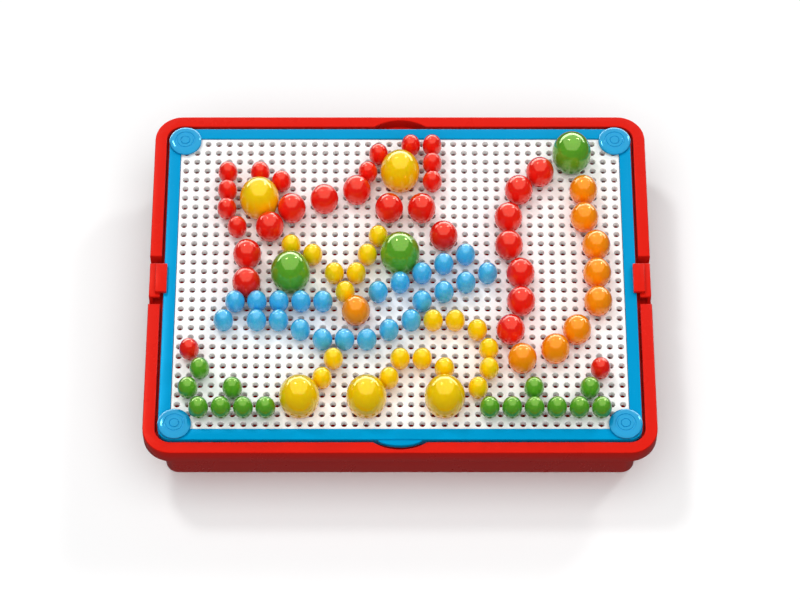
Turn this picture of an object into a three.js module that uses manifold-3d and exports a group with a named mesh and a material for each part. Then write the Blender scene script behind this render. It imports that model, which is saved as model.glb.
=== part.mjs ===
// Peg mosaic board: a perforated white board in a blue frame, seated in a red storage tray,
// with mushroom-headed pegs in three sizes pushed into its holes.
// Millimetres, +Z up. X runs along the board, +Y points away from the player's edge.
// The origin is on the surface that the tray stands on, under the middle of the board.

import * as THREE from "three";
import { mergeVertices } from "three/addons/utils/BufferGeometryUtils.js";
import Module from "manifold-3d";

const wasm = await Module();
wasm.setup();

// ---------------------------------------------------------------- driving dimensions

const holePitch = 5.5; // between neighbouring peg holes, both ways
const holeColumns = 41;
const holeRows = 31;
const gap = 0.3; // between pieces that touch or seat on each other
const through = 1; // how far a cutting tool runs past the face it breaks

const trayHeight = 38.3; // from the table to the top of the rim
const trayWall = 2;
const trayFloor = 1.6;
const floorRecess = 0.6; // the floor hangs this far above the table
const shelfThickness = 2; // the ledge that the board's frame rests on
const rimWidth = 6.1;
const rimCorner = 14;
const skirtHeight = 9.1; // of the rim's outer face
const footInset = 9.5; // from the rim's outer face to the lower body
const footCorner = 6.5;
const binMargin = -3; // from the outermost holes to the storage bin's wall
const binCorner = 8;
const ribSpacing = 58; // between the stiffening ribs under the tray

const boardThickness = 3.5;
const boardEdgeStep = 1.5; // the board's edge is lowered by this, under the frame
const openingMargin = 3; // from the outermost holes to the frame's opening
const openingCorner = 2;
const openingChamfer = 0.6;

const barWidth = 6; // of the blue frame, seen from above
const barRise = 0.8; // from the board's face to the frame's top
const barWall = 2;
const frameGap = 1.4; // shadow gap between the frame and the tray's rim
const lugThickness = 1.4; // the frame's corner lugs, under the board
const lugSide = 12;

const notchWidth = 26.5; // finger notches in the rim, front and back
const notchDepth = 4;
const notchSides = 48; // of the round tool that cuts them
const tabWidth = 22.8; // finger tab on the frame's front bar
const tabReach = 2.9;
const tabThickness = 2.4;
const tabDrop = 0.8; // from the frame's top to the tab's top
const tabSteps = 12; // straight pieces in the tab's curve

const latchLength = 19.8;
const latchSlit = 4.1; // on each side of a latch
const latchWall = 2;
const latchInset = 0.2; // from the rim's faces to the latch's faces
const hookLength = 16.6;
const hookBack = 3.3; // from the rim's outer face to the raised hook
const hookHeight = 2.5;

const pinOffset = 0.8; // corner pins stand this far outside the corner holes
const pinHeadRadius = 8.3;
const pinHeadHeight = 1.9;
const pinHeadBevel = 1; // of the head's upper edge
const pinCentreRadius = 4; // of the raised middle of the head
const pinCentreRise = 0.5;
const pinRadius = 2.5;
const pinLead = 0.5; // narrowing of the shank's end
const pinSides = 12;

const stemRadius = 1.3;
const stemPoint = 1; // length of the stem's pointed end
const webWidth = 1.6; // the runner that keeps a strip of small pegs together
const webHeight = 1;

const arcSteps = 5; // straight pieces in a quarter circle

// Head sizes: holes that a head spans, the share of that span it fills, its height above
// the board, the height of its waist, which is its widest point, and the facets that draw
// it: its sides, and its rings below and above the waist.
const heads = {
  small: { spans: 2, fill: 0.91, height: 14.3, waist: 7, sides: 6, below: 1, above: 1 },
  medium: { spans: 3, fill: 0.873, height: 16.6, waist: 7.4, sides: 8, below: 1, above: 2 },
  large: { spans: 4, fill: 0.915, height: 21.8, waist: 8.1, sides: 10, below: 2, above: 2 },
};

const colours = {
  red: 0xd81a12,
  yellow: 0xf5c800,
  green: 0x43a52b,
  blue: 0x2f97d6,
  orange: 0xf8960c,
};

// The picture on the board. A peg stands at [column, row], counted from the hole at the
// back left corner. Each list of small pegs is one strip, in the order that it runs.
const largePegs = {
  yellow: [[7, 7], [20, 4], [11, 28], [17, 28], [24, 28]],
  green: [[10, 15], [20, 13], [36, 2]],
};
const mediumPegs = {
  red: [
    [13, 7], [10, 8], [8, 10], [16, 6], [19, 8], [22, 8], [24, 11], [6, 13], [6, 16],
    [33, 4], [31, 6], [30, 9], [30, 12], [31, 15], [31, 18], [30, 21],
  ],
  orange: [
    [37, 6], [37, 9], [38, 12], [38, 15], [38, 18], [36, 21], [34, 23], [31, 24], [16, 19],
  ],
};
const smallStrips = {
  red: [
    [[4, 4], [4, 6], [4, 8], [5, 10]],
    [[7, 4], [9, 5]],
    [[18, 2], [17, 4]],
    [[21, 1], [23, 1], [23, 3], [23, 5]],
    [[1, 23]],
    [[38, 25]],
  ],
  yellow: [
    [[10, 12], [12, 13], [14, 15], [15, 17], [16, 15], [17, 13], [18, 11]],
    [[14, 24], [13, 26]],
    [[19, 26], [20, 24], [22, 24], [24, 25]],
    [[27, 27], [28, 25], [28, 23], [27, 21], [25, 20], [23, 20]],
  ],
  blue: [
    [[4, 20], [5, 18], [7, 18], [9, 18], [11, 18], [13, 18]],
    [[7, 20], [9, 20], [11, 21], [13, 22], [15, 22], [17, 22], [19, 21], [21, 20]],
    [[22, 18], [24, 17], [26, 16], [28, 15]],
    [[18, 17], [20, 16], [22, 15], [24, 14], [26, 13]],
  ],
  green: [
    [[2, 25], [1, 27], [2, 29], [4, 29], [5, 27], [6, 29], [8, 29]],
    [[28, 29], [30, 29], [32, 27], [32, 29], [34, 29], [36, 29], [37, 27], [38, 29]],
  ],
};

// ---------------------------------------------------------------- derived sizes

const gridX = ((holeColumns - 1) * holePitch) / 2;
const gridY = ((holeRows - 1) * holePitch) / 2;

const boardTop = trayHeight - barRise;
const boardBottom = boardTop - boardThickness;
const boardEdgeTop = boardTop - boardEdgeStep;
const lugTop = boardBottom - gap;
const frameBottom = lugTop - lugThickness;
const shelfTop = frameBottom - gap;
const shelfBottom = shelfTop - shelfThickness;
const skirtBottom = trayHeight - skirtHeight;
const bridgeTop = skirtBottom + trayWall;
const binFloor = floorRecess + trayFloor;

const openingToBar = openingMargin + barWidth;
const openingToRim = openingToBar + frameGap;
const openingToFace = openingToRim + rimWidth;
const latchHalf = latchLength / 2;
const slitHalf = latchHalf + latchSlit;
const stemTip = shelfTop + gap; // a peg also fits in the holes over the ledge
const pinX = gridX + pinOffset;
const pinY = gridY + pinOffset;

// ---------------------------------------------------------------- solids

// A rounded rectangle's corner points, counter-clockwise, at a margin outside the holes.
function outline(margin, corner) {
  const x = gridX + margin;
  const y = gridY + margin;
  const centres = [[1, -1], [1, 1], [-1, 1], [-1, -1]];
  return centres.flatMap(([sx, sy], quarter) =>
    Array.from({ length: arcSteps + 1 }, (_, step) => {
      const angle = ((quarter - 1 + step / arcSteps) * Math.PI) / 2;
      return new THREE.Vector2(
        sx * (x - corner) + corner * Math.cos(angle),
        sy * (y - corner) + corner * Math.sin(angle),
      );
    }),
  );
}

// A closed solid through outlines with the same number of points, from the lowest up.
function stack(...levels) {
  const count = levels[0].points.length;
  const positions = levels.flatMap(({ points, z }) => points.flatMap((p) => [p.x, p.y, z]));
  const index = [];
  const top = (levels.length - 1) * count;
  for (const [a, b, c] of THREE.ShapeUtils.triangulateShape(levels[0].points, [])) {
    index.push(c, b, a);
    index.push(top + a, top + b, top + c);
  }
  for (let level = 0; level + 1 < levels.length; level++) {
    for (let i = 0; i < count; i++) {
      const a = level * count + i;
      const b = level * count + ((i + 1) % count);
      index.push(a, b, b + count, a, b + count, a + count);
    }
  }
  const geometry = new THREE.BufferGeometry();
  geometry.setAttribute("position", new THREE.Float32BufferAttribute(positions, 3));
  geometry.setIndex(index);
  return solid(geometry);
}

function solid(geometry) {
  geometry.deleteAttribute("normal");
  geometry.deleteAttribute("uv");
  const merged = mergeVertices(geometry, 1e-4);
  return new wasm.Manifold(
    new wasm.Mesh({
      numProp: 3,
      vertProperties: new Float32Array(merged.attributes.position.array),
      triVerts: new Uint32Array(merged.index.array),
    }),
  );
}

const plate = (margin, corner, z0, z1) =>
  stack(
    { points: outline(margin, corner), z: z0 },
    { points: outline(margin, corner), z: z1 },
  );

function block(x0, x1, y0, y1, z0, z1) {
  const geometry = new THREE.BoxGeometry(x1 - x0, y1 - y0, z1 - z0);
  geometry.translate((x0 + x1) / 2, (y0 + y1) / 2, (z0 + z1) / 2);
  return solid(geometry);
}

// A block on the right of the board, or its mirror image on the left.
const sideBlock = (side, x0, x1, y0, y1, z0, z1) =>
  side > 0 ? block(x0, x1, y0, y1, z0, z1) : block(-x1, -x0, y0, y1, z0, z1);

function post(x, y, radius, z0, z1, sides) {
  const geometry = new THREE.CylinderGeometry(radius, radius, z1 - z0, sides);
  geometry.rotateX(Math.PI / 2);
  geometry.translate(x, y, (z0 + z1) / 2);
  return solid(geometry);
}

// A turned solid about the vertical line at x, y, from [radius, z] points, lowest first.
function turned(x, y, profile, sides) {
  const points = profile.map(([radius, z]) => new THREE.Vector2(radius, z));
  const geometry = new THREE.LatheGeometry(points, sides);
  geometry.rotateX(Math.PI / 2);
  geometry.translate(x, y, 0);
  return solid(geometry);
}

const join = (pieces) => pieces.reduce((whole, piece) => whole.add(piece));
const cut = (whole, tools) => tools.reduce((left, tool) => left.subtract(tool), whole);

// ---------------------------------------------------------------- tray

// The rim's underside is hollow, except round the finger notches and beside the latches.
function rimChannel() {
  const outer = plate(openingToFace - trayWall, rimCorner - trayWall, 0, trayHeight - trayWall);
  const inner = plate(openingToRim + trayWall, rimCorner - rimWidth + trayWall, -1, trayHeight);
  const keep = [];
  for (const side of [-1, 1]) {
    keep.push(fingerNotch(side, trayWall, 0));
    const reach = gridX + openingToFace + through;
    const half = slitHalf + trayWall;
    keep.push(sideBlock(side, gridX, reach, -half, half, 0, trayHeight));
  }
  return cut(outer, [inner, ...keep]);
}

// The round tool that cuts a finger notch into the rim's inner edge, side -1 in front.
function fingerNotch(side, wall, bottom) {
  const radius = (notchWidth ** 2 / 4 + notchDepth ** 2) / (2 * notchDepth);
  const centre = gridY + openingToRim + notchDepth - radius;
  return post(0, side * centre, radius + wall, bottom, trayHeight + through, notchSides);
}

function ribs() {
  const outer = gridY + openingToFace - footInset - trayWall / 2;
  const inner = gridY + binMargin + trayWall / 2;
  const outerX = gridX + openingToFace - footInset - trayWall / 2;
  const innerX = gridX + binMargin + trayWall / 2;
  const half = trayWall / 2;
  const made = [];
  for (const side of [-1, 1]) {
    for (const step of [-1, 0, 1]) {
      const x = step * ribSpacing;
      const [y0, y1] = side > 0 ? [inner, outer] : [-outer, -inner];
      made.push(block(x - half, x + half, y0, y1, floorRecess, shelfBottom + half));
    }
    for (const step of [-0.5, 0.5]) {
      const y = step * ribSpacing;
      made.push(sideBlock(side, innerX, outerX, y - half, y + half, floorRecess, shelfBottom + half));
    }
  }
  return made;
}

function storageTray() {
  const footMargin = openingToFace - footInset;
  const binOuter = binMargin + trayWall;
  const rim = plate(openingToFace, rimCorner, skirtBottom, trayHeight);
  const foot = plate(footMargin, footCorner, 0, shelfTop);
  const footHollow = cut(
    plate(footMargin - trayWall, footCorner - trayWall, -through, shelfBottom),
    [plate(binOuter, binCorner + trayWall, -2 * through, shelfTop)],
  );
  const underRim = cut(
    plate(openingToFace - trayWall, rimCorner - trayWall, 0, shelfBottom),
    [
      plate(footMargin, footCorner, -through, shelfTop),
      ...[-1, 1].map((side) => latchBridge(side)),
    ],
  );
  const tools = [
    plate(openingToRim, rimCorner - rimWidth, shelfTop, trayHeight + through),
    plate(binMargin, binCorner, binFloor, trayHeight),
    plate(binOuter, binCorner + trayWall, -through, floorRecess),
    rimChannel(),
    footHollow,
    underRim,
    fingerNotch(-1, 0, shelfTop),
    fingerNotch(1, 0, shelfTop),
  ];
  const x0 = gridX + openingToRim - through;
  const x1 = gridX + openingToFace + through;
  for (const side of [-1, 1]) {
    tools.push(sideBlock(side, x0, x1, -slitHalf, slitHalf, bridgeTop, trayHeight + through));
  }
  return join([cut(rim.add(foot), tools), ...ribs()]);
}

// What stays solid under a latch, so that its foot has something to stand on.
function latchBridge(side) {
  const half = slitHalf + trayWall;
  const reach = gridX + openingToFace + through;
  return sideBlock(side, gridX + openingToRim, reach, -half, half, 0, trayHeight);
}

// ---------------------------------------------------------------- frame, board and pins

function boardFrame() {
  const inner = openingToBar - barWall;
  const corner = rimCorner - rimWidth - frameGap;
  const shell = cut(plate(openingToBar, corner, frameBottom, trayHeight), [
    plate(inner, corner - barWall, frameBottom - through, boardEdgeTop + gap),
    stack(
      { points: outline(openingMargin, openingCorner), z: frameBottom },
      { points: outline(openingMargin, openingCorner), z: boardTop },
      {
        points: outline(openingMargin + openingChamfer, openingCorner + openingChamfer),
        z: trayHeight,
      },
      {
        points: outline(openingMargin + openingChamfer, openingCorner + openingChamfer),
        z: trayHeight + through,
      },
    ),
  ]);
  return cut(join([shell, ...cornerLugs(inner, corner), fingerTab()]), pinHoles());
}

// Lugs under the board's corners, which the corner pins are pressed into.
function cornerLugs(inner, corner) {
  const bounds = plate(inner + barWall / 2, corner - barWall / 2, frameBottom, lugTop);
  const x1 = gridX + inner + barWall;
  const y1 = gridY + inner + barWall;
  return corners().map(([sx, sy]) => {
    const [y0, y2] = sy > 0 ? [y1 - lugSide, y1] : [-y1, lugSide - y1];
    return sideBlock(sx, x1 - lugSide, x1, y0, y2, frameBottom, lugTop).intersect(bounds);
  });
}

function fingerTab() {
  const top = trayHeight - tabDrop;
  const root = gridY + openingToBar - barWall / 2;
  const reach = tabReach + barWall / 2;
  const curve = new THREE.EllipseCurve(0, -root, tabWidth / 2, reach, Math.PI, 2 * Math.PI);
  const geometry = new THREE.ExtrudeGeometry(new THREE.Shape(curve.getPoints(tabSteps)), {
    depth: tabThickness,
    bevelEnabled: false,
  });
  geometry.translate(0, 0, top - tabThickness);
  return solid(geometry);
}

const corners = () => [[-1, -1], [1, -1], [-1, 1], [1, 1]];

const pinHoles = () =>
  corners().map(([sx, sy]) =>
    post(sx * pinX, sy * pinY, pinRadius + gap, frameBottom - through, trayHeight + through, pinSides),
  );

function pegBoard(pegPlaces) {
  const fieldMargin = openingMargin - gap;
  const edgeMargin = openingToBar - barWall - gap;
  const edgeCorner = rimCorner - rimWidth - frameGap - barWall - gap;
  const slab = join([
    plate(fieldMargin, openingCorner - gap, boardBottom, boardTop),
    plate(edgeMargin, edgeCorner, boardBottom, boardEdgeTop),
  ]);
  const holeSides = 6;
  const holeRadius = (stemRadius + gap) / Math.cos(Math.PI / holeSides);
  const holes = pegPlaces.map(([x, y]) =>
    post(x, y, holeRadius, boardBottom - through, boardTop + through, holeSides),
  );
  return cut(slab, [...pinHoles(), ...holes]);
}

// A corner pin: a bevelled button with a raised centre, on a shank through board and lug.
function cornerPin(sx, sy) {
  const seat = trayHeight + gap;
  const crown = seat + pinHeadHeight;
  const shoulder = crown - pinCentreRise;
  const profile = [
    [0, frameBottom],
    [pinRadius - pinLead, frameBottom],
    [pinRadius, frameBottom + pinLead],
    [pinRadius, seat],
    [pinHeadRadius, seat],
    [pinHeadRadius, shoulder - pinHeadBevel],
    [pinHeadRadius - pinHeadBevel, shoulder],
    [pinCentreRadius, shoulder],
    [pinCentreRadius - pinCentreRise, crown],
    [0, crown],
  ];
  return turned(sx * pinX, sy * pinY, profile, pinSides);
}

// ---------------------------------------------------------------- latches

// A springy tongue in the tray's side: a wall, a top flush with the rim, and a raised
// hook whose nose stops short of the frame.
function latch(side) {
  const outer = gridX + openingToFace - latchInset;
  const inner = gridX + openingToRim + latchInset;
  const nose = gridX + openingToBar + gap;
  const hookEnd = gridX + openingToFace - hookBack;
  const foot = bridgeTop + gap;
  return join([
    sideBlock(side, outer - latchWall, outer, -latchHalf, latchHalf, foot, trayHeight),
    sideBlock(side, inner, outer, -latchHalf, latchHalf, trayHeight - latchWall, trayHeight),
    sideBlock(
      side, nose, hookEnd, -hookLength / 2, hookLength / 2,
      trayHeight - latchWall / 2, trayHeight + hookHeight,
    ),
  ]);
}

// ---------------------------------------------------------------- pegs

const place = ([column, row]) => [
  column * holePitch - gridX,
  gridY - row * holePitch,
];

// One peg: an egg-shaped head, cut off where it sits on the board, and a pointed stem.
function peg(size, hole) {
  const { spans, fill, height, waist, sides, below, above } = heads[size];
  const radius = (spans * holePitch * fill) / 2;
  const half = height - waist;
  const seat = Math.asin((gap - waist) / half);
  const profile = [
    [0, stemTip],
    [stemRadius, stemTip + stemPoint],
    [stemRadius, boardTop + gap],
  ];
  for (let ring = -below; ring <= above; ring++) {
    const angle = ring < 0 ? (-ring / below) * seat : (ring / (above + 1)) * (Math.PI / 2);
    profile.push([radius * Math.cos(angle), boardTop + waist + half * Math.sin(angle)]);
  }
  profile.push([0, boardTop + height]);
  return turned(...place(hole), profile, sides);
}

// The runner between two neighbouring pegs of a strip, just above the board.
function runner(from, to) {
  const [x0, y0] = place(from);
  const [x1, y1] = place(to);
  const length = Math.hypot(x1 - x0, y1 - y0);
  const geometry = new THREE.BoxGeometry(length, webWidth, webHeight);
  geometry.rotateZ(Math.atan2(y1 - y0, x1 - x0));
  geometry.translate((x0 + x1) / 2, (y0 + y1) / 2, boardTop + 2 * gap + webHeight / 2);
  return solid(geometry);
}

const strip = (holes) =>
  join([
    ...holes.map((hole) => peg("small", hole)),
    ...holes.slice(1).map((hole, i) => runner(holes[i], hole)),
  ]);

// ---------------------------------------------------------------- scene graph

function mesh(name, body, colour, roughness) {
  const made = body.getMesh();
  const geometry = new THREE.BufferGeometry();
  geometry.setAttribute("position", new THREE.BufferAttribute(made.vertProperties, 3));
  geometry.setIndex(new THREE.BufferAttribute(made.triVerts, 1));
  geometry.computeVertexNormals();
  const material = new THREE.MeshStandardMaterial({ color: colour, roughness, metalness: 0 });
  const piece = new THREE.Mesh(geometry, material);
  piece.name = name;
  return piece;
}

const trayRed = 0xd8261c;
const frameBlue = 0x009fdc;
const boardWhite = 0xfafafa;
const satin = 0.35;
const gloss = 0.15;

const tray = new THREE.Group();
tray.add(mesh("storage_tray", storageTray(), trayRed, satin));
tray.add(mesh("left_latch", latch(-1), trayRed, satin));
tray.add(mesh("right_latch", latch(1), trayRed, satin));

const allHoles = [largePegs, mediumPegs]
  .flatMap((set) => Object.values(set).flat())
  .concat(Object.values(smallStrips).flat(2));

const lid = new THREE.Group();
lid.add(mesh("board_frame", boardFrame(), frameBlue, satin));
lid.add(mesh("peg_board", pegBoard(allHoles.map(place)), boardWhite, satin));
for (const [sx, sy] of corners()) {
  const name = `corner_pin_${sy < 0 ? "front" : "back"}_${sx < 0 ? "left" : "right"}`;
  lid.add(mesh(name, cornerPin(sx, sy), frameBlue, gloss));
}

const pegs = new THREE.Group();
for (const [size, set] of Object.entries({ large: largePegs, medium: mediumPegs })) {
  for (const [colour, holes] of Object.entries(set)) {
    holes.forEach((hole, i) => {
      const name = `${size}_${colour}_peg_${i + 1}`;
      pegs.add(mesh(name, peg(size, hole), colours[colour], gloss));
    });
  }
}
for (const [colour, strips] of Object.entries(smallStrips)) {
  strips.forEach((holes, i) => {
    pegs.add(mesh(`small_${colour}_pegs_${i + 1}`, strip(holes), colours[colour], gloss));
  });
}
lid.add(pegs);

const pegMosaicBoard = new THREE.Group();
pegMosaicBoard.name = "peg_mosaic_board";
pegMosaicBoard.add(tray, lid);

export default pegMosaicBoard;
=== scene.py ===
import math

import bmesh
import bpy
from bpy.props import FloatProperty, FloatVectorProperty, IntProperty, PointerProperty
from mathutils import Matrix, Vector


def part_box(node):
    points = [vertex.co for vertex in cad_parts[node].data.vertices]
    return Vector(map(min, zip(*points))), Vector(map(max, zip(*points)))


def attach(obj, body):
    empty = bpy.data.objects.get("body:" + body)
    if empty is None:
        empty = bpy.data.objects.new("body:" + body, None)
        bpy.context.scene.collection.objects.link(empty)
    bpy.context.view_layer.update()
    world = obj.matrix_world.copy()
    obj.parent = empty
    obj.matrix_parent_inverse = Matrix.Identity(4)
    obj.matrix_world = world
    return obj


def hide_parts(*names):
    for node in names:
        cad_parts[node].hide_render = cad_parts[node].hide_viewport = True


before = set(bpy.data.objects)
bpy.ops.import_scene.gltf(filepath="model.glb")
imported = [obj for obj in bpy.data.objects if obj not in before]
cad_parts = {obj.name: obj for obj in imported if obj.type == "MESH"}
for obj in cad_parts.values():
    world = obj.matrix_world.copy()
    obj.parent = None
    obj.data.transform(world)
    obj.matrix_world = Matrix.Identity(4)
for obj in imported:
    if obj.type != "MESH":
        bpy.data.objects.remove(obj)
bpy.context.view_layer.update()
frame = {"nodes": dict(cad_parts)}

bl_info = {
    "name": "Peg Mosaic Board",
    "version": (1, 0, 0),
    "blender": (4, 5, 0),
    "location": "3D View > Sidebar > Mosaic",
    "description": "Moulds a peg mosaic board, its tray and its pegs round the packed frame",
    "category": "Add Mesh",
}

MM = 0.001
SAME_PLACE = 0.01 * MM  # two heights closer than this are the same height
PAST = 1 * MM  # how far a cutting tool runs past the face that it breaks
CLEAR = 0.3 * MM  # between pieces that touch

tray_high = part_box("storage_tray")[1]
frame_low, frame_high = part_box("board_frame")
board_low, board_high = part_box("peg_board")
latch_low, latch_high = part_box("right_latch")
pin_low, pin_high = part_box("corner_pin_back_right")
pin_centre = (pin_low + pin_high) / 2


# ------------------------------------------------------------------ what a user can change


def size(name, millimetres, description):
    """A length that the user can change."""
    return FloatProperty(
        name=name,
        description=description,
        default=millimetres * MM,
        min=0,
        precision=5,
        subtype="DISTANCE",
        unit="LENGTH",
    )


def count(name, value, description):
    return IntProperty(name=name, description=description, default=value, min=1)


def colour(name, value, description):
    return FloatVectorProperty(
        name=name, description=description, default=value, size=3, min=0, max=1, subtype="COLOR"
    )


class TraySizes(bpy.types.PropertyGroup):
    wall: size("Wall", 2, "Thickness of the tray's walls")
    floor: size("Floor", 1.6, "Thickness of the bin's floor")
    floor_recess: size("Floor recess", 0.6, "Height of the floor's underside above the table")
    ledge: size("Ledge", 2, "Thickness of the ledge that the board's frame rests on")
    rim_width: size("Rim width", 6.1, "Width of the rim, seen from above")
    rim_corner: size("Rim corner", 14, "Radius of the rim's outer corners")
    skirt: size("Skirt", 9.1, "Height of the rim's outer face")
    foot_inset: size("Foot inset", 9.5, "From the rim's outer face to the lower body")
    foot_corner: size("Foot corner", 6.5, "Radius of the lower body's corners")
    bin_inset: size("Bin inset", 19.5, "From the rim's outer face to the bin's wall")
    bin_corner: size("Bin corner", 8, "Radius of the bin's corners")
    notch_width: size("Notch width", 26.5, "Width of the two finger notches in the rim")
    notch_depth: size("Notch depth", 4, "Depth of the two finger notches")
    slit: size("Slit", 4.1, "Width of the slit on each side of a latch")
    rib_spacing: size("Rib spacing", 58, "Distance between the ribs under the tray")
    edge: size("Edge", 0.55, "Rounding of the rim's edges")
    small_edge: size("Small edge", 0.4, "Rounding of the skirt's and the foot's lower edges")


class FrameSizes(bpy.types.PropertyGroup):
    bar: size("Bar", 6, "Width of the frame's bars, seen from above")
    wall: size("Wall", 2, "Thickness of the bars' outer wall")
    corner: size("Corner", 6.5, "Radius of the frame's outer corners")
    opening_corner: size("Opening corner", 2, "Radius of the opening's corners")
    outer_edge: size("Outer edge", 0.5, "Rounding of the frame's outer edge")
    opening_edge: size("Opening edge", 0.6, "Rounding of the opening's edge")
    tab_width: size("Tab width", 22.8, "Width of the finger tab on the front bar")
    tab_thickness: size("Tab thickness", 2.4, "Thickness of the finger tab")
    tab_drop: size("Tab drop", 0.8, "From the frame's top to the tab's top")
    tab_reach: size("Tab reach", 2.9, "How far the tab stands out of the front bar")
    lug_side: size("Lug side", 12, "Side of the corner lugs under the board")
    lug_thickness: size("Lug thickness", 1.4, "Thickness of the corner lugs")


class BoardSizes(bpy.types.PropertyGroup):
    pitch: size("Pitch", 5.5, "Distance between neighbouring holes, both ways")
    columns: count("Columns", 41, "Holes along the board")
    rows: count("Rows", 31, "Holes across the board")
    hole: size("Hole", 3.15, "Diameter of a hole")
    hole_edge: size("Hole edge", 0.2, "Bevel round each hole")
    edge_step: size("Edge step", 1.5, "How much lower the board's edge is, under the frame")
    corner: size("Corner", 4.2, "Radius of the board's corners")


class LatchSizes(bpy.types.PropertyGroup):
    wall: size("Wall", 2, "Thickness of the latch's wall and top")
    hook_length: size("Hook length", 16.6, "Length of the raised hook")
    hook_back: size("Hook back", 3.1, "From the latch's outer face to the hook")
    overhang: size("Overhang", 1.6, "How far the hook's nose reaches over the frame")
    edge: size("Edge", 0.45, "Rounding of the latch's edges")


class PinSizes(bpy.types.PropertyGroup):
    shank: size("Shank", 2.5, "Radius of the shank")
    groove: size("Groove", 4.9, "Outer radius of the ring groove in the head")
    groove_width: size("Groove width", 0.7, "Width of the ring groove")
    button: size("Button", 2.3, "Radius of the raised button inside the ring")
    dome: size("Dome", 1.2, "How far the head rises from its side to its crest")
    relief: size("Relief", 0.4, "Depth of the rings in the head")
    soft: size("Soft", 0.2, "Rounding of the head's small edges")
    lead: size("Lead", 0.5, "Narrowing of the shank's end")


class PegSizes(bpy.types.PropertyGroup):
    small: size("Small head", 10.0, "Diameter of a small peg's head")
    medium: size("Medium head", 14.4, "Diameter of a medium peg's head")
    large: size("Large head", 20.1, "Diameter of a large peg's head")
    small_waist: size("Small waist", 7.0, "Height of a small head's widest point over the board")
    medium_waist: size("Medium waist", 7.4, "Height of a medium head's widest point")
    large_waist: size("Large waist", 8.1, "Height of a large head's widest point")
    stem: size("Stem", 2.6, "Diameter of a peg's stem")
    stem_point: size("Stem point", 1, "Length of the stem's rounded end")
    seat_edge: size("Seat edge", 0.25, "Rounding of a head's edge on the board")


class Colours(bpy.types.PropertyGroup):
    tray: colour("Tray", (0.67, 0.010, 0.005), "Red of the tray and its latches")
    frame: colour("Frame", (0.0, 0.29, 0.58), "Blue of the board's frame")
    board: colour("Board", (0.93, 0.93, 0.92), "White of the board")
    pin: colour("Pin", (0.003, 0.28, 0.58), "Blue of the corner pins")
    # each peg colour comes twice: its own colour at the crown, and a darker one near the board
    # that is painted shade
    red: colour("Red", (0.82, 0.012, 0.006), "Red pegs, at the crown")
    red_deep: colour("Red in painted shade", (0.66, 0.005, 0.006), "Red pegs, near the board")
    yellow: colour("Yellow", (0.96, 0.64, 0.002), "Yellow pegs, at the crown")
    yellow_deep: colour("Yellow in painted shade", (0.90, 0.36, 0.003), "Yellow pegs, near the board")
    green: colour("Green", (0.10, 0.38, 0.02), "Green pegs, at the crown")
    green_deep: colour("Green in painted shade", (0.01, 0.22, 0.04), "Green pegs, near the board")
    blue: colour("Blue", (0.05, 0.46, 0.80), "Blue pegs, at the crown")
    blue_deep: colour("Blue in painted shade", (0.01, 0.30, 0.66), "Blue pegs, near the board")
    orange: colour("Orange", (0.97, 0.29, 0.002), "Orange pegs, at the crown")
    orange_deep: colour("Orange in painted shade", (0.93, 0.12, 0.004), "Orange pegs, near the board")
    floor: colour("Floor", (0.93, 0.93, 0.93), "Surface that the toy stands on")


# ------------------------------------------------------------------ modelling by hand


def select_only(*pieces):
    bpy.ops.object.select_all(action="DESELECT")
    for piece in pieces:
        piece.select_set(True)
    bpy.context.view_layer.objects.active = pieces[-1]


def start_shaping(piece):
    select_only(piece)
    bpy.ops.object.mode_set(mode="EDIT")
    bpy.ops.mesh.select_all(action="SELECT")


def stop_shaping():
    """Faces the whole surface outwards and leaves edit mode."""
    bpy.ops.mesh.select_all(action="SELECT")
    bpy.ops.mesh.normals_make_consistent(inside=False)
    bpy.ops.object.mode_set(mode="OBJECT")


def pick(kind, test):
    """Selects the vertices, edges or faces that pass the test, and returns how many did."""
    bpy.ops.mesh.select_mode(type=kind)
    bpy.ops.mesh.select_all(action="DESELECT")
    mesh = bpy.context.edit_object.data
    shape = bmesh.from_edit_mesh(mesh)
    items = {"VERT": shape.verts, "EDGE": shape.edges, "FACE": shape.faces}[kind]
    chosen = [item for item in items if test(item)]
    for item in chosen:
        item.select_set(True)
    shape.select_flush_mode()
    bmesh.update_edit_mesh(mesh)
    return len(chosen)


def within(place, half_x, half_y):
    return abs(place.x) < half_x and abs(place.y) < half_y


def edges_at(height, test=lambda middle: True):
    """A test for sharp edges that lie flat at a height, and whose middle passes the test given."""

    def lies_there(edge):
        first, second = (corner.co for corner in edge.verts)
        flat = abs(first.z - height) < SAME_PLACE and abs(second.z - height) < SAME_PLACE
        sharp = len(edge.link_faces) == 2 and edge.calc_face_angle(0) > math.radians(20)
        return flat and sharp and test((first + second) / 2)

    return lies_there


def round_edges(test, width, segments=3):
    if not pick("EDGE", test):
        raise RuntimeError("there are no edges to round")
    bpy.ops.mesh.bevel(offset=width, segments=segments, affect="EDGES")


def trim(place, normal):
    """Cuts what is selected with a plane, and closes it there: what the normal points to goes."""
    bpy.ops.mesh.bisect(
        plane_co=place, plane_no=normal, use_fill=True, clear_outer=True, threshold=SAME_PLACE / 10
    )


def plate(half_x, half_y, corner, low, high, segments=10):
    """A flat plate with round corners, centred on the board, from one height to another."""
    bpy.ops.mesh.primitive_plane_add(size=2, location=(0, 0, 0))
    made = bpy.context.object
    start_shaping(made)
    bpy.ops.transform.resize(value=(half_x, half_y, 1))
    bpy.ops.transform.translate(value=(0, 0, low))
    bpy.ops.mesh.bevel(offset=corner, segments=segments, affect="VERTICES")
    bpy.ops.mesh.extrude_region_move(TRANSFORM_OT_translate={"value": (0, 0, high - low)})
    stop_shaping()
    return made


def block(low, high):
    """A square block between its lowest and highest corner."""
    low, high = Vector(low), Vector(high)
    bpy.ops.mesh.primitive_cube_add(size=1, location=(low + high) / 2)
    made = bpy.context.object
    made.scale = high - low
    bpy.ops.object.transform_apply(location=True, rotation=True, scale=True)
    return made


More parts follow.
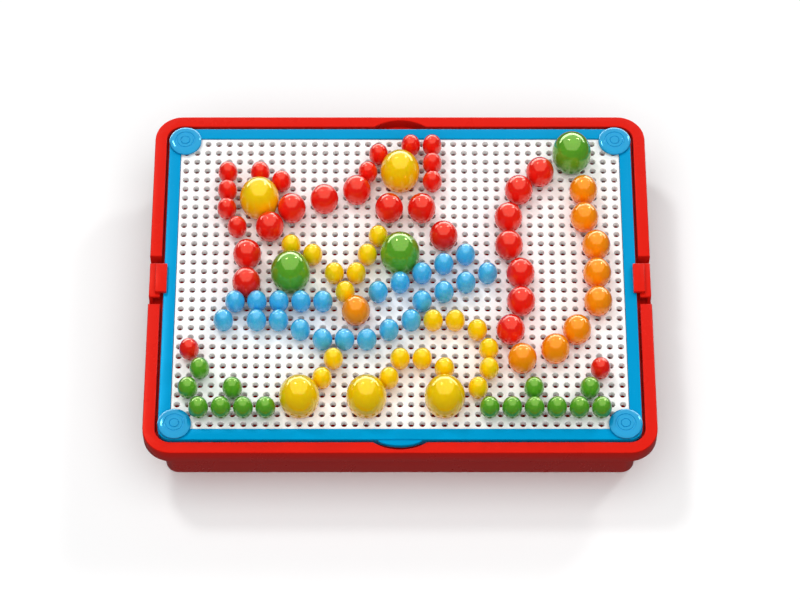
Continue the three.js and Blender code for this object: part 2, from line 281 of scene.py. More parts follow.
def side_block(side, low, high):
    """A block on the right of the board, or its mirror image on the left."""
    if side > 0:
        return block(low, high)
    return block((-high[0], low[1], low[2]), (-low[0], high[1], high[2]))


def round_bar(x, y, radius, low, high, sides=32):
    bpy.ops.mesh.primitive_cylinder_add(
        vertices=sides, radius=radius, depth=high - low, location=(x, y, (low + high) / 2)
    )
    made = bpy.context.object
    bpy.ops.object.transform_apply(location=True, rotation=True, scale=True)
    return made


def rings(steps, sides):
    """A round piece on the middle line, its end face extruded through (radius, height) steps."""
    radius, height = steps[0]
    bpy.ops.mesh.primitive_circle_add(
        vertices=sides, radius=radius, fill_type="NGON", location=(0, 0, 0)
    )
    made = bpy.context.object
    start_shaping(made)
    bpy.ops.transform.translate(value=(0, 0, height))
    for next_radius, next_height in steps[1:]:
        rise = (0, 0, next_height - height)
        bpy.ops.mesh.extrude_region_move(TRANSFORM_OT_translate={"value": rise})
        share = next_radius / radius
        bpy.ops.transform.resize(value=(share, share, 1), center_override=(0, 0, next_height))
        radius, height = next_radius, next_height
    stop_shaping()
    return made


def combine(piece, tools, operation):
    """Joins the tools to a piece, or cuts them out of it, and uses them up."""
    for tool in tools:
        select_only(piece)
        step = piece.modifiers.new("step", "BOOLEAN")
        step.solver = "MANIFOLD"
        step.operation = operation
        step.object = tool
        bpy.ops.object.modifier_apply(modifier=step.name)
        bpy.data.objects.remove(tool)
    return piece


def join(piece, *tools):
    return combine(piece, tools, "UNION")


def cut(piece, *tools):
    return combine(piece, tools, "DIFFERENCE")


def copy_to(pattern, place):
    """A copy of a piece with a mesh of its own, moved to a place."""
    select_only(pattern)
    bpy.ops.object.duplicate(linked=False)
    made = bpy.context.object
    made.location = place
    bpy.ops.object.transform_apply(location=True, rotation=True, scale=True)
    return made


def hand_over(piece, name, body, finish, replaced, sharp=35):
    """Names and shades a finished piece, and ties it to its body and to its CAD nodes."""
    piece.name = piece.data.name = name
    select_only(piece)
    bpy.ops.object.transform_apply(location=True, rotation=True, scale=True)
    bpy.ops.object.shade_smooth_by_angle(angle=math.radians(sharp))
    piece.data.materials.clear()
    piece.data.materials.append(finish)
    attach(piece, body)
    if replaced:
        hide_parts(*replaced)


# ------------------------------------------------------------------ finishes


class Signal:
    """A node's output. Arithmetic on signals adds Math nodes."""

    def __init__(self, finish, socket):
        self.finish = finish
        self.socket = socket

    def math(self, operation, first, second):
        return self.finish.node("ShaderNodeMath", {"operation": operation}, {0: first, 1: second})

    def __add__(self, other):
        return self.math("ADD", self, other)

    __radd__ = __add__

    def __sub__(self, other):
        return self.math("SUBTRACT", self, other)

    def __rsub__(self, other):
        return self.math("SUBTRACT", other, self)

    def __mul__(self, other):
        return self.math("MULTIPLY", self, other)

    __rmul__ = __mul__


class Finish:
    """A material on a piece's own coordinates, put together node by node."""

    def __init__(self, name):
        self.material = bpy.data.materials.new(name)
        self.material.use_nodes = True
        self.tree = self.material.node_tree
        self.tree.nodes.clear()
        self.place = self.node("ShaderNodeTexCoord", output="Object")

    def node(self, kind, settings=None, inputs=None, output=0):
        """Adds a node: its settings first, then the values or signals of its sockets."""
        made = self.tree.nodes.new(kind)
        for setting, value in (settings or {}).items():
            setattr(made, setting, value)
        for socket, value in (inputs or {}).items():
            if isinstance(value, Signal):
                self.tree.links.new(value.socket, made.inputs[socket])
            else:
                made.inputs[socket].default_value = value
        if made.outputs:
            return Signal(self, made.outputs[output])

    def between(self, value, low, high):
        """0 below the low value, 1 above the high one, and a smooth slope between."""
        return self.node(
            "ShaderNodeMapRange",
            {"interpolation_type": "SMOOTHSTEP"},
            {"Value": value, "From Min": low, "From Max": high},
        )

    def noise(self, grain, detail=2.0):
        """Cloudy noise from 0 to 1, whose lumps are one grain across."""
        return self.node(
            "ShaderNodeTexNoise",
            {"noise_dimensions": "3D"},
            {"Vector": self.place, "Scale": 1 / grain, "Detail": detail},
        )

    def blend(self, share, first, second):
        """One colour turning into another."""
        first, second = (
            value if isinstance(value, Signal) else (*value, 1.0) for value in (first, second)
        )
        sockets = {0: share, 6: first, 7: second}
        return self.node("ShaderNodeMix", {"data_type": "RGBA"}, sockets, output=2)

    def vector(self, operation, *values, output=0):
        """Sums on places and directions, given in the order of the node's sockets."""
        settings = {"operation": operation}
        return self.node("ShaderNodeVectorMath", settings, dict(enumerate(values)), output)

    def height(self):
        """How high a point of the piece is."""
        return self.node("ShaderNodeSeparateXYZ", inputs={0: self.place}, output="Z")

    def bump(self, relief, depth, strength=1.0):
        return self.node(
            "ShaderNodeBump", inputs={"Height": relief, "Distance": depth, "Strength": strength}
        )

    def finished(self, **sockets):
        """Closes the material with a shader whose sockets are given by their names."""
        named = {name.replace("_", " "): value for name, value in sockets.items()}
        shader = self.node("ShaderNodeBsdfPrincipled", inputs=named)
        self.node("ShaderNodeOutputMaterial", inputs={"Surface": shader})
        return self.material


SHEENS = {  # each plastic tints the light that its surface throws back
    "tray": (1.0, 0.1, 0.05),
    "frame": (0.0, 0.6, 1.0),
    "pin": (0.2, 0.75, 1.0),
    "red": (1.0, 0.3, 0.15),
    "yellow": (1.0, 0.8, 0.1),
    "green": (0.8, 1.0, 0.25),
    "blue": (0.55, 0.85, 1.0),
    "orange": (1.0, 0.6, 0.1),
}
SPECKS = {  # how strongly each peg plastic is speckled
    "red": 0.0,
    "yellow": 0.0,
    "green": 0.05,
    "blue": 0.3,
    "orange": 0.05,
}


def darker(tint, share):
    """A colour with the given share of its light."""
    return tuple(channel * share for channel in tint)


def paler(tint, light, share=1.0):
    """A colour with a share of its light and a little white added."""
    return tuple(min(1.0, channel * share + light) for channel in tint)


def moulded_finish(name, tint, sheen, roughness, specular):
    """Satin moulded plastic: a fine spark-eroded grain, faint flow clouds and light wear."""
    finish = Finish(name)
    clouds = finish.noise(22 * MM, detail=3.0)
    flow = finish.noise(4 * MM)
    grain = finish.noise(0.16 * MM)
    scuffs = finish.between(finish.noise(1.6 * MM, detail=5.0), 0.58, 0.72)
    shade = finish.blend(clouds, darker(tint, 0.93), tint)
    relief = grain * 0.7 + flow * 0.5
    return finish.finished(
        Base_Color=finish.blend(scuffs * 0.12, shade, paler(tint, 0.02)),
        Roughness=roughness + scuffs * 0.04 + (clouds - 0.5) * 0.08,
        Normal=finish.bump(relief, 0.03 * MM, 0.35),
        Specular_IOR_Level=specular,
        Specular_Tint=(*sheen, 1.0),
    )


def board_finish(tint, sizes):
    """White board: matt between the holes, and smoother and a little darker in a ring round each
    hole.
    """
    finish = Finish("white_board_plastic")
    clouds = finish.noise(30 * MM, detail=3.0)
    grain = finish.noise(0.2 * MM)
    cell = (sizes.pitch, sizes.pitch, 1.0)
    corner = finish.vector("SNAP", finish.place, cell)
    from_corner = finish.vector("SUBTRACT", finish.place, corner)
    from_middle = finish.vector("SUBTRACT", from_corner, (sizes.pitch / 2, sizes.pitch / 2, 0.0))
    level = finish.vector("MULTIPLY", from_middle, (1.0, 1.0, 0.0))
    from_edge = finish.vector("LENGTH", level, output="Value") - sizes.hole / 2
    # a ring round each hole's edge, a little darker in colour and smoother than the rest
    hole_ring = 1 - finish.between(from_edge, 0.25 * MM, 0.8 * MM)
    shade = finish.blend(clouds, darker(tint, 0.97), tint)
    return finish.finished(
        Base_Color=finish.blend(hole_ring * 0.5, shade, darker(tint, 0.95)),
        Roughness=0.42 - hole_ring * 0.14 + (clouds - 0.5) * 0.06,
        Normal=finish.bump(grain, 0.02 * MM, 0.3),
        Specular_IOR_Level=0.4,
    )


def peg_finish(name, crown, painted_shade, sheen, specks):
    """Glossy soft plastic, darker towards the board as painted shade, with a faint flow in the
    gloss.
    """
    finish = Finish(name)
    # painted shade: the colour grows darker from the crown down to the board
    light = finish.between(finish.height() - board_high.z, 1 * MM, 12 * MM)
    clouds = finish.noise(5 * MM, detail=3.0)
    specking = finish.between(finish.noise(0.5 * MM, detail=1.0), 0.5, 0.7)
    body = finish.blend(light, painted_shade, crown)
    mottled = finish.blend(clouds * 0.25, body, darker(crown, 0.8))
    return finish.finished(
        Base_Color=finish.blend(specking * specks, mottled, paler(crown, 0.08, 1.3)),
        Roughness=0.07 + specking * specks * 0.3 + (clouds - 0.5) * 0.04,
        Normal=finish.bump(finish.noise(2.5 * MM), 0.04 * MM, 0.25),
        Specular_IOR_Level=0.9,
        Specular_Tint=(*sheen, 1.0),
        Subsurface_Weight=0.35,
        Subsurface_Radius=(1.0, 0.6, 0.3),
        Subsurface_Scale=3 * MM,
        Coat_Weight=0.35,
        Coat_Roughness=0.03,
    )


def pin_finish(tint, sheen):
    """Glossy blue plastic of the corner pins."""
    finish = Finish("blue_pin_plastic")
    clouds = finish.noise(6 * MM, detail=3.0)
    scuffs = finish.between(finish.noise(0.8 * MM, detail=4.0), 0.6, 0.75)
    return finish.finished(
        Base_Color=finish.blend(clouds, darker(tint, 0.9), tint),
        Roughness=0.08 + scuffs * 0.1,
        Normal=finish.bump(finish.noise(3 * MM), 0.05 * MM, 0.3),
        Specular_IOR_Level=1.0,
        Specular_Tint=(*sheen, 1.0),
    )


def floor_finish(tint):
    """Matt pale paper."""
    finish = Finish("pale_floor")
    fibres = finish.noise(1.5 * MM, detail=4.0)
    return finish.finished(
        Base_Color=finish.blend(fibres, darker(tint, 0.99), tint),
        Roughness=0.9,
        Normal=finish.bump(fibres, 0.01 * MM, 0.2),
        Specular_IOR_Level=0.1,
    )


# ------------------------------------------------------------------ the tray


def finger_notches(sizes, wall, low):
    """The two round tools that cut the finger notches, or keep a wall round them."""
    half_width, depth = sizes.notch_width / 2, sizes.notch_depth
    radius = (half_width**2 + depth**2) / (2 * depth)
    centre = tray_high.y - sizes.rim_width + depth - radius
    high = tray_high.z + PAST
    return [round_bar(0, side * centre, radius + wall, low, high, 96) for side in (-1, 1)]


def latch_gap(side, sizes, wall, low):
    """The room round a latch, or the block of tray round that room."""
    half = latch_high.y + sizes.slit + wall
    inner = tray_high.x - sizes.rim_width
    reach = (tray_high.x + PAST, half, tray_high.z + PAST)
    return side_block(side, (inner - (PAST if not wall else 0), -half, low), reach)


class MOSAIC_OT_tray(bpy.types.Operator):
    """Mould the storage tray, with its hollow rim, ledge, bin, finger notches and ribs"""

    bl_idname = "mosaic.tray"
    bl_label = "Storage tray"

    def execute(self, context):
        sizes = context.scene.mosaic_tray
        tints = context.scene.mosaic_colours
        x, y, top = tray_high
        wall, rim = sizes.wall, sizes.rim_width
        foot, store = sizes.foot_inset, sizes.bin_inset
        ledge_top = frame_low.z - CLEAR
        ledge_bottom = ledge_top - sizes.ledge
        skirt_low = top - sizes.skirt
        bridge_top = skirt_low + wall

        def ring(inset, corner, low, high):
            return plate(x - inset, y - inset, corner, low, high)

        tray = ring(0, sizes.rim_corner, skirt_low, top)
        join(tray, ring(foot, sizes.foot_corner, 0, ledge_top))
        cut(
            tray,
            ring(rim, sizes.rim_corner - rim, ledge_top, top + PAST),
            ring(store, sizes.bin_corner, sizes.floor_recess + sizes.floor, top),
            ring(store - wall, sizes.bin_corner + wall, -PAST, sizes.floor_recess),
        )
        channel = ring(wall, sizes.rim_corner - wall, -PAST, top - wall)
        cut(channel, ring(rim - wall, sizes.rim_corner - rim + wall, -2 * PAST, top))
        cut(channel, *finger_notches(sizes, wall, -2 * PAST))
        cut(channel, *[latch_gap(side, sizes, wall, -2 * PAST) for side in (-1, 1)])
        under_rim = ring(wall, sizes.rim_corner - wall, 0, ledge_bottom)
        cut(under_rim, ring(foot, sizes.foot_corner, -PAST, ledge_top))
        cut(under_rim, *[latch_gap(side, sizes, wall, -PAST) for side in (-1, 1)])
        hollow = ring(foot + wall, sizes.foot_corner - wall, -PAST, ledge_bottom)
        cut(hollow, ring(store - wall, sizes.bin_corner + wall, -2 * PAST, ledge_top))
        cut(tray, channel, under_rim, hollow, *finger_notches(sizes, 0, ledge_top))
        cut(tray, *[latch_gap(side, sizes, 0, bridge_top) for side in (-1, 1)])
        self.add_ribs(tray, sizes, ledge_bottom)
        start_shaping(tray)
        bpy.ops.mesh.remove_doubles(threshold=SAME_PLACE)
        round_edges(edges_at(top), sizes.edge, 4)
        round_edges(edges_at(skirt_low, lambda p: on_outline(p, x, y, 0)), sizes.small_edge, 2)
        round_edges(edges_at(0, lambda p: on_outline(p, x, y, foot)), sizes.small_edge, 2)
        stop_shaping()
        red = moulded_finish("red_tray_plastic", tints.tray, SHEENS["tray"], 0.28, 0.4)
        hand_over(tray, "tray", "tray", red, ["storage_tray"])
        return {"FINISHED"}

    def add_ribs(self, tray, sizes, high):
        """Ribs between the bin and the lower body's outer wall."""
        x, y, _ = tray_high
        half = sizes.wall / 2
        outer, inner = sizes.foot_inset + half, sizes.bin_inset - half
        low, high = sizes.floor_recess, high + half
        for side in (-1, 1):
            for step in (-1, 0, 1):
                middle = step * sizes.rib_spacing
                ends = sorted((side * (y - inner), side * (y - outer)))
                rib = block((middle - half, ends[0], low), (middle + half, ends[1], high))
                join(tray, rib)
            for step in (-0.5, 0.5):
                middle = step * sizes.rib_spacing
                near = (x - inner, middle - half, low)
                far = (x - outer, middle + half, high)
                join(tray, side_block(side, near, far))


def on_outline(place, half_x, half_y, inset):
    """Whether a point is near an outline's straight sides or its round corners."""
    room = 7 * MM  # a chord of a round corner runs this far inside at most
    return not within(place, half_x - inset - room, half_y - inset - room)


# ------------------------------------------------------------------ the frame and the board


def at_corners(x, y):
    return [(side_x * x, side_y * y) for side_x in (-1, 1) for side_y in (-1, 1)]


def pin_holes(radius, low, high):
    return [round_bar(x, y, radius, low, high) for x, y in at_corners(pin_centre.x, pin_centre.y)]


class MOSAIC_OT_frame(bpy.types.Operator):
    """Mould the frame round the board, with its lugs and finger tab"""

    bl_idname = "mosaic.frame"
    bl_label = "Board frame"

    def execute(self, context):
        sizes = context.scene.mosaic_frame
        board = context.scene.mosaic_board
        tints = context.scene.mosaic_colours
        x, y, top = frame_high
        low = frame_low.z
        seat = board_high.z - board.edge_step + CLEAR
        made = plate(x, y, sizes.corner, low, top)
        cut(
            made,
            plate(x - sizes.wall, y - sizes.wall, sizes.corner - sizes.wall, low - PAST, seat),
            plate(x - sizes.bar, y - sizes.bar, sizes.opening_corner, low, top + PAST),
        )
        join(made, self.tab(sizes))
        for side_x, side_y in at_corners(1, 1):
            near = sorted((side_y * (y - sizes.wall / 2), side_y * (y - sizes.lug_side)))
            lug = side_block(
                side_x,
                (x - sizes.lug_side, near[0], low),
                (x - sizes.wall / 2, near[1], low + sizes.lug_thickness),
            )
            inset = sizes.wall / 2
            outline = plate(x - inset, y - inset, sizes.corner - inset, low - PAST, seat)
            join(made, combine(lug, [outline], "INTERSECT"))
        cut(made, *pin_holes(context.scene.mosaic_pin.shank + CLEAR, low - PAST, top + PAST))
        start_shaping(made)
        bpy.ops.mesh.remove_doubles(threshold=SAME_PLACE)
        inside = (x - sizes.bar / 2, y - sizes.bar / 2)
        round_edges(edges_at(top, lambda p: not within(p, *inside)), sizes.outer_edge)
        opening = (x - sizes.bar + SAME_PLACE, y - sizes.bar + SAME_PLACE)
        round_edges(edges_at(top, lambda p: within(p, *opening)), sizes.opening_edge)
        tab_top = top - sizes.tab_drop
        round_edges(edges_at(tab_top, lambda p: p.y < -y - SAME_PLACE), sizes.opening_edge)
        stop_shaping()
        blue = moulded_finish("blue_frame_plastic", tints.frame, SHEENS["frame"], 0.24, 0.3)
        hand_over(made, "frame", "lid", blue, ["board_frame"])
        return {"FINISHED"}

    def tab(self, sizes):
        """The half-round tab that a finger lifts the frame by."""
        top = frame_high.z - sizes.tab_drop
        root = -frame_high.y + sizes.wall / 2
        reach = sizes.tab_reach + sizes.wall / 2
        made = round_bar(0, 0, 1, top - sizes.tab_thickness, top, 48)
        made.scale = (sizes.tab_width / 2, reach, 1)
        made.location.y = root
        select_only(made)
        bpy.ops.object.transform_apply(location=True, rotation=True, scale=True)
        back = block((-sizes.tab_width, root, 0), (sizes.tab_width, 0, frame_high.z))
        return cut(made, back)


class MOSAIC_OT_board(bpy.types.Operator):
    """Mould the white board and its grid of peg holes"""

    bl_idname = "mosaic.board"
    bl_label = "Board"

    def execute(self, context):
        sizes = context.scene.mosaic_board
        tints = context.scene.mosaic_colours
        board = self.cell(sizes)
        for number, step in ((sizes.columns, (1, 0, 0)), (sizes.rows, (0, -1, 0))):
            row = board.modifiers.new("row", "ARRAY")
            row.count = number
            row.use_relative_offset = False
            row.use_constant_offset = True
            row.constant_offset_displace = Vector(step) * sizes.pitch
            row.use_merge_vertices = True
            row.merge_threshold = SAME_PLACE
            bpy.ops.object.modifier_apply(modifier=row.name)
        start_shaping(board)
        bpy.ops.mesh.remove_doubles(threshold=SAME_PLACE)
        first_x = (1 - sizes.columns) / 2 * sizes.pitch
        first_y = (sizes.rows - 1) / 2 * sizes.pitch
        bpy.ops.transform.translate(value=(first_x, first_y, 0))
        self.add_edge(sizes)
        self.round_corners(sizes)
        stop_shaping()
        low, high = board_low.z - PAST, board_high.z + PAST
        holes = pin_holes(context.scene.mosaic_pin.shank + CLEAR, low, high)
        cut(board, *holes)
        white = board_finish(tints.board, sizes)
        hand_over(board, "board", "lid", white, ["peg_board"], sharp=30)
        return {"FINISHED"}

    def cell(self, sizes):
        """The square of board round one hole: a ring of faces above, down the hole and below."""
        radius = sizes.hole / 2
        wide = radius + sizes.hole_edge
        half = sizes.pitch / 2
        top, bottom = board_high.z, board_low.z
        bpy.ops.mesh.primitive_circle_add(vertices=12, radius=radius, fill_type="NOTHING")
        made = bpy.context.object
        start_shaping(made)
        bpy.ops.transform.rotate(
            value=math.radians(15), orient_axis="Z", center_override=(0, 0, 0)
        )
        bpy.ops.transform.translate(value=(0, 0, top - sizes.hole_edge))
        self.spread(radius, wide, sizes.hole_edge)
        self.spread(wide, half * math.sqrt(2))
        self.square_off(half, top)
        throat = top - sizes.hole_edge
        pick("EDGE", lambda edge: all(abs(v.co.z - throat) < SAME_PLACE for v in edge.verts))
        drop = {"value": (0, 0, bottom - throat)}
        bpy.ops.mesh.extrude_edges_move(TRANSFORM_OT_translate=drop)
        self.spread(radius, half * math.sqrt(2))
        self.square_off(half, bottom)
        bpy.ops.object.mode_set(mode="OBJECT")
        return made

    def spread(self, radius, wider, rise=0.0):
        """Extrudes the selected ring of edges out to a wider one."""
        bpy.ops.mesh.extrude_edges_move(TRANSFORM_OT_translate={"value": (0, 0, rise)})
        share = wider / radius
        bpy.ops.transform.resize(value=(share, share, 1), center_override=(0, 0, 0))

    def square_off(self, half, height):
        """Pulls the four flats of the outer ring in to the sides of the cell."""
        excess = half * (math.sqrt(2) * math.cos(math.radians(15)) - 1)
        limit = half + excess / 2
        for x, y in ((1, 0), (-1, 0), (0, 1), (0, -1)):
            pick(
                "VERT",
                lambda v: v.co.x * x + v.co.y * y > limit and abs(v.co.z - height) < SAME_PLACE,
            )
            bpy.ops.transform.translate(value=(-excess * x, -excess * y, 0))

    def add_edge(self, sizes):
        """Carries the sheet out and down to its lowered edge, and closes it underneath."""
        top, bottom = board_high.z, board_low.z
        half_x = sizes.columns / 2 * sizes.pitch
        half_y = sizes.rows / 2 * sizes.pitch
        pick("EDGE", lambda edge: edge.is_boundary and edge.verts[0].co.z > top - SAME_PLACE)
        down = {"value": (0, 0, -sizes.edge_step)}
        bpy.ops.mesh.extrude_edges_move(TRANSFORM_OT_translate=down)
        bpy.ops.mesh.extrude_edges_move(TRANSFORM_OT_translate={"value": (0, 0, 0)})
        outer = (board_high.x / half_x, board_high.y / half_y, 1)
        bpy.ops.transform.resize(value=outer, center_override=(0, 0, 0))
        down = {"value": (0, 0, bottom - top + sizes.edge_step)}
        bpy.ops.mesh.extrude_edges_move(TRANSFORM_OT_translate=down)
        pick("EDGE", lambda edge: edge.is_boundary)
        bpy.ops.mesh.bridge_edge_loops()
        if pick("EDGE", lambda edge: not edge.is_manifold):
            raise RuntimeError("the board isn't closed")

    def round_corners(self, sizes):
        """Trims each corner of the lowered edge with planes that touch its round outline."""
        centre_x, centre_y = board_high.x - sizes.corner, board_high.y - sizes.corner
        for side_x, side_y in at_corners(1, 1):
            for degrees in (15, 45, 75):
                angle = math.radians(degrees)
                normal = Vector((side_x * math.cos(angle), side_y * math.sin(angle), 0))
                centre = Vector((side_x * centre_x, side_y * centre_y, 0))

                def near_corner(face):
                    middle = face.calc_center_median()
                    outside_x = middle.x * side_x > centre_x - sizes.corner / 2
                    return outside_x and middle.y * side_y > centre_y - sizes.corner / 2

                pick("FACE", near_corner)
                trim(centre + normal * sizes.corner, normal)


# ------------------------------------------------------------------ pins and latches


class MOSAIC_OT_pins(bpy.types.Operator):
    """Turn the four corner pins, each with rings in its head"""

    bl_idname = "mosaic.pins"
    bl_label = "Corner pins"

    def execute(self, context):
        sizes = context.scene.mosaic_pin
        blue = pin_finish(context.scene.mosaic_colours.pin, SHEENS["pin"])
        pattern = rings(self.profile(sizes), 64)
        for row, side_y in (("front", -1), ("back", 1)):
            for column, side_x in (("left", -1), ("right", 1)):
                node = f"corner_pin_{row}_{column}"
                place = (side_x * pin_centre.x, side_y * pin_centre.y, 0)
                pin = copy_to(pattern, place)
                hand_over(pin, f"{row}_{column}_pin", "lid", blue, [node], 25)
        bpy.data.objects.remove(pattern)
        return {"FINISHED"}

    def profile(self, sizes):
        """(radius, height) from the shank's end up to the middle of the head's button."""
        head = (pin_high.x - pin_low.x) / 2
        tip, crown = pin_low.z, pin_high.z
        seat = frame_high.z + CLEAR
        shoulder = crown - sizes.dome
        crest = sizes.groove + sizes.soft
        valley = crown - sizes.relief
        steps = [
            (sizes.shank - sizes.lead, tip),
            (sizes.shank, tip + sizes.lead),
            (sizes.shank, seat),
            (head - sizes.soft, seat),
            (head, seat + sizes.soft),
        ]
        rise = sizes.dome - sizes.soft / 4
        for degrees in range(0, 91, 15):
            angle = math.radians(degrees)
            reach = (head - crest) * math.cos(angle)
            steps.append((crest + reach, shoulder + rise * math.sin(angle)))
        inner = sizes.groove - sizes.groove_width
        return steps + [
            (sizes.groove, valley),
            (inner, valley),
            (inner - sizes.soft, crown - sizes.soft / 2),
            (sizes.button + sizes.soft, crown - sizes.soft / 2),
            (sizes.button, valley),
            (sizes.button - sizes.soft, crown - sizes.soft / 4),
            (sizes.button / 2, crown),
        ]


class MOSAIC_OT_latches(bpy.types.Operator):
    """Mould the two side latches, whose hooks hold the frame down"""

    bl_idname = "mosaic.latches"
    bl_label = "Side latches"

    def execute(self, context):
        sizes = context.scene.mosaic_latch
        rim_width = context.scene.mosaic_tray.rim_width
        red = bpy.data.materials["red_tray_plastic"]
        for side, word in ((-1, "left"), (1, "right")):
            latch = self.mould(side, sizes, rim_width)
            hand_over(
                latch, f"{word}_side_latch", f"{word}_latch", red, [f"{word}_latch"]
            )
        return {"FINISHED"}

    def mould(self, side, sizes, rim_width):
        """A wall with a foot below and a top above, and a hook whose nose reaches inwards."""
        low, high = latch_low.z, latch_high.z
        half, hook_half = latch_high.y, sizes.hook_length / 2
        outer = latch_high.x
        inner = tray_high.x - rim_width + (tray_high.x - outer)
        rim_top = tray_high.z
        under = rim_top - sizes.wall
        made = side_block(side, (inner, -half, low), (outer, half, rim_top))
        room = (outer - sizes.wall, half + PAST, under)
        cut(made, side_block(side, (inner - PAST, -half - PAST, low - PAST), room))
        root = (inner, -hook_half, under + sizes.wall / 2)
        nose = (frame_high.x - sizes.overhang, -hook_half, frame_high.z + CLEAR)
        join(
            made,
            side_block(side, root, (outer - sizes.hook_back, hook_half, high)),
            side_block(side, nose, (inner + PAST, hook_half, high)),
        )
        start_shaping(made)
        bpy.ops.mesh.remove_doubles(threshold=SAME_PLACE)
        bpy.ops.mesh.dissolve_limited(angle_limit=math.radians(1))
        round_edges(lambda edge: is_outside_corner(edge, low), sizes.edge)
        stop_shaping()
        return made


def is_outside_corner(edge, low):
    """Whether an edge is convex and above the latch's foot."""
    above = max(corner.co.z for corner in edge.verts) > low + SAME_PLACE
    return above and edge.is_convex and edge.calc_face_angle(0) > math.radians(45)


# ------------------------------------------------------------------ pegs


def peg_places(node):
    """Where the pegs of a CAD node stand: under the points of its mesh that are highest."""
    corners = [corner.co for corner in frame["nodes"][node].data.vertices]
    top = max(corner.z for corner in corners)
    crowns = {
        (round(corner.x / MM, 1), round(corner.y / MM, 1))
        for corner in corners
        if corner.z > top - SAME_PLACE
    }
    return [(x * MM, y * MM, 0) for x, y in sorted(crowns)]


def mushroom(width, waist, top, sizes, segments, turns):
    """A peg on the middle line: an egg-shaped head cut off at the board, and a round stem."""
    seat = board_high.z + CLEAR
    middle = board_high.z + waist
    bpy.ops.mesh.primitive_uv_sphere_add(
        segments=segments, ring_count=turns, radius=1, location=(0, 0, 0)
    )
    made = bpy.context.object
    start_shaping(made)
    bpy.ops.transform.resize(value=(width / 2, width / 2, top - middle))
    bpy.ops.transform.translate(value=(0, 0, middle))
    trim((0, 0, seat), (0, 0, -1))
    round_edges(edges_at(seat), sizes.seat_edge, 2)
    underneath = seat + SAME_PLACE
    pick("FACE", lambda face: face.normal.z < -0.9 and face.calc_center_median().z < underneath)
    underside, _ = picked_size()
    stem = sizes.stem / 2
    bpy.ops.mesh.inset(thickness=underside - stem)
    for radius, height in stem_steps(stem, frame_low.z, sizes.stem_point):
        before, level = picked_size()
        drop = {"value": (0, 0, height - level)}
        bpy.ops.mesh.extrude_region_move(TRANSFORM_OT_translate=drop)
        share = radius / before
        bpy.ops.transform.resize(value=(share, share, 1), center_override=(0, 0, height))
    stop_shaping()
    return made


def stem_steps(radius, tip, point):
    """(radius, height) of a stem's rings, from its root down round its end."""
    steps = [(radius, tip + point)]
    for degrees in (30, 60, 80):
        angle = math.radians(degrees)
        steps.append((radius * math.cos(angle), tip + point * (1 - math.sin(angle))))
    return steps


def picked_size():
    """(radius, height) of the selected end face."""
    shape = bmesh.from_edit_mesh(bpy.context.edit_object.data)
    corners = [corner.co for face in shape.faces if face.select for corner in face.verts]
    return max(corner.x for corner in corners), corners[0].z


class MOSAIC_OT_pegs(bpy.types.Operator):
    """Mould the small, medium and large pegs and stand them in the board"""

    bl_idname = "mosaic.pegs"
    bl_label = "Pegs"

    def execute(self, context):
        sizes = context.scene.mosaic_peg
        finishes = self.finishes(context.scene.mosaic_colours)
        kinds = {
            "small": (sizes.small, sizes.small_waist, 28, 14),
            "medium": (sizes.medium, sizes.medium_waist, 36, 18),
            "large": (sizes.large, sizes.large_waist, 48, 24),
        }
        for kind, (width, waist, segments, turns) in kinds.items():
            nodes = sorted(node for node in frame["nodes"] if node.startswith(kind))
            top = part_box(nodes[0])[1].z
            pattern = mushroom(width, waist, top, sizes, segments, turns)
            for node in nodes:
                tint = node.split("_")[1]
                places = peg_places(node)
                for number, place in enumerate(places):
                    name = f"{node}_head" if len(places) == 1 else f"{node}_head_{number + 1}"
                    replaced = [node] if number == 0 else []
                    peg = copy_to(pattern, place)
                    hand_over(peg, name, node, finishes[tint], replaced)
            bpy.data.objects.remove(pattern)
        return {"FINISHED"}

    def finishes(self, tints):
        """One plastic for each colour of peg."""
        return {
            tint: peg_finish(
                f"{tint}_peg_plastic",
                getattr(tints, tint),
                # the colour each peg has near the board, darkened as painted shade
                getattr(tints, f"{tint}_deep"),
                SHEENS[tint],
                specks,
            )
            for tint, specks in SPECKS.items()
        }


# ------------------------------------------------------------------ the stage


CAMERA_PLACE = (0, -0.8647, 1.4587)
CAMERA_TILT = math.radians(30.98)  # away from straight down
LENS, SENSOR = 148.5, 36  # in millimetres
FLOOR_SIDE = 12
AMBIENT = 0.13
LAMPS = (  # for the crisp spots of light: name, direction, width, height, power
    ("left_lamp", (-0.36, 0.46, 0.81), 9, 9, 34),
    ("right_lamp", (0.56, 0.64, 0.52), 8, 8, 30),
)
CEILING = ("ceiling", (0.0, -0.34, 0.94), 80, 80, 235)  # lights the matt part of each colour
PANELS = (  # seen only in the gloss: name, direction, width, height, power, distance
    ("window", (0.0, 0.27, 0.96), 118, 136, 360, 2.0),
    ("backdrop", (0.0, 1.0, 0.10), 124, 24, 480, 4.0),
)


def softbox(name, direction, width, height, power, distance=4.0):
    """A light that looks at the board from afar. Its width and height are angles, in degrees."""
    bpy.ops.object.light_add(type="AREA", location=Vector(direction).normalized() * distance)
    lamp = bpy.context.object
    lamp.name = name
    lamp.data.shape = "RECTANGLE"
    lamp.data.size = 2 * distance * math.tan(math.radians(width / 2))
    lamp.data.size_y = 2 * distance * math.tan(math.radians(height / 2))
    lamp.data.energy = power
    lamp.rotation_euler = Vector(direction).to_track_quat("Z", "Y").to_euler()
    return lamp


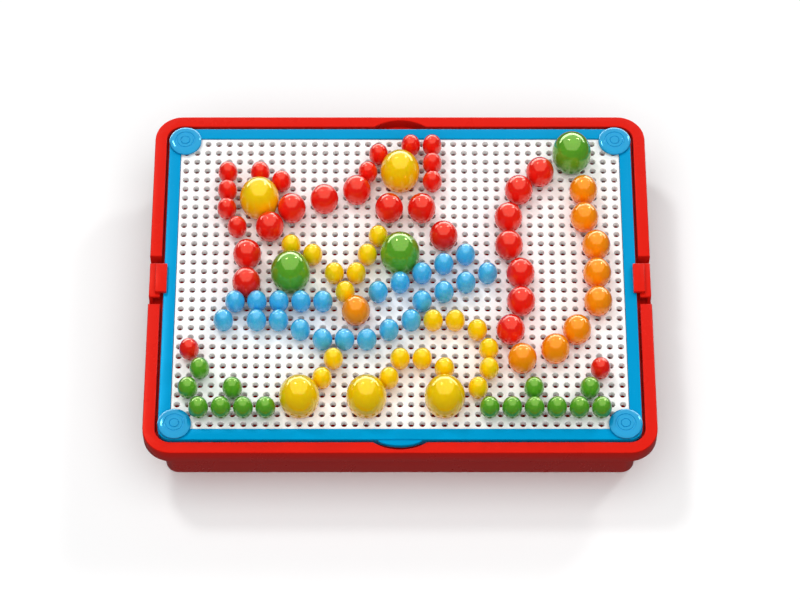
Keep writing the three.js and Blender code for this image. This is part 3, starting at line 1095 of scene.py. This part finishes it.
class MOSAIC_OT_stage(bpy.types.Operator):
    """Set up the camera, the pale floor and the soft lights"""

    bl_idname = "mosaic.stage"
    bl_label = "Camera, floor and lights"

    def execute(self, context):
        scene = context.scene
        bpy.ops.object.camera_add(location=CAMERA_PLACE, rotation=(CAMERA_TILT, 0, 0))
        camera = context.object
        camera.name = "camera"
        camera.data.lens = LENS
        camera.data.sensor_width = SENSOR
        camera.data.clip_start = 0.05
        camera.data.clip_end = 20
        scene.camera = camera
        bpy.ops.mesh.primitive_plane_add(size=FLOOR_SIDE, location=(0, 0, -0.1 * MM))
        floor = context.object
        floor.name = "floor"
        floor.data.materials.append(floor_finish(scene.mosaic_colours.floor))
        floor.visible_diffuse = floor.visible_glossy = False
        for lamp in LAMPS:
            softbox(*lamp)
        ceiling = softbox(*CEILING)
        ceiling.visible_glossy = ceiling.visible_camera = False
        for panel in PANELS:
            made = softbox(*panel)
            made.visible_diffuse = made.visible_camera = False
        scene.world = bpy.data.worlds.new("studio")
        scene.world.use_nodes = True
        ambient = scene.world.node_tree.nodes["Background"].inputs
        ambient["Color"].default_value = (1, 1, 1, 1)
        ambient["Strength"].default_value = AMBIENT
        scene.view_settings.view_transform = "Standard"
        return {"FINISHED"}


# ------------------------------------------------------------------ panel and registration


class MOSAIC_PT_sidebar(bpy.types.Panel):
    """Lists the sizes, the colours and the pieces"""

    bl_idname = "MOSAIC_PT_sidebar"
    bl_label = "Peg mosaic board"
    bl_space_type = "VIEW_3D"
    bl_region_type = "UI"
    bl_category = "Mosaic"

    def draw(self, context):
        for name in GROUPS:
            group = getattr(context.scene, name)
            column = self.layout.column(align=True)
            column.label(text=name.removeprefix("mosaic_").capitalize())
            for prop in group.bl_rna.properties:
                if prop.identifier not in ("rna_type", "name"):
                    column.prop(group, prop.identifier)
        column = self.layout.column(align=True)
        for operator in OPERATORS:
            column.operator(operator.bl_idname)


GROUPS = {
    "mosaic_tray": TraySizes,
    "mosaic_frame": FrameSizes,
    "mosaic_board": BoardSizes,
    "mosaic_latch": LatchSizes,
    "mosaic_pin": PinSizes,
    "mosaic_peg": PegSizes,
    "mosaic_colours": Colours,
}
OPERATORS = (
    MOSAIC_OT_stage,
    MOSAIC_OT_tray,
    MOSAIC_OT_frame,
    MOSAIC_OT_board,
    MOSAIC_OT_pins,
    MOSAIC_OT_latches,
    MOSAIC_OT_pegs,
)


def register():
    for item in (*GROUPS.values(), *OPERATORS, MOSAIC_PT_sidebar):
        bpy.utils.register_class(item)
    for name, group in GROUPS.items():
        setattr(bpy.types.Scene, name, PointerProperty(type=group))


def unregister():
    for name in GROUPS:
        delattr(bpy.types.Scene, name)
    for item in reversed((*GROUPS.values(), *OPERATORS, MOSAIC_PT_sidebar)):
        bpy.utils.unregister_class(item)


def main():
    register()
    bpy.ops.mosaic.stage()
    bpy.ops.mosaic.tray()
    bpy.ops.mosaic.frame()
    bpy.ops.mosaic.board()
    bpy.ops.mosaic.pins()
    bpy.ops.mosaic.latches()
    bpy.ops.mosaic.pegs()


if __name__ == "__main__":
    main()
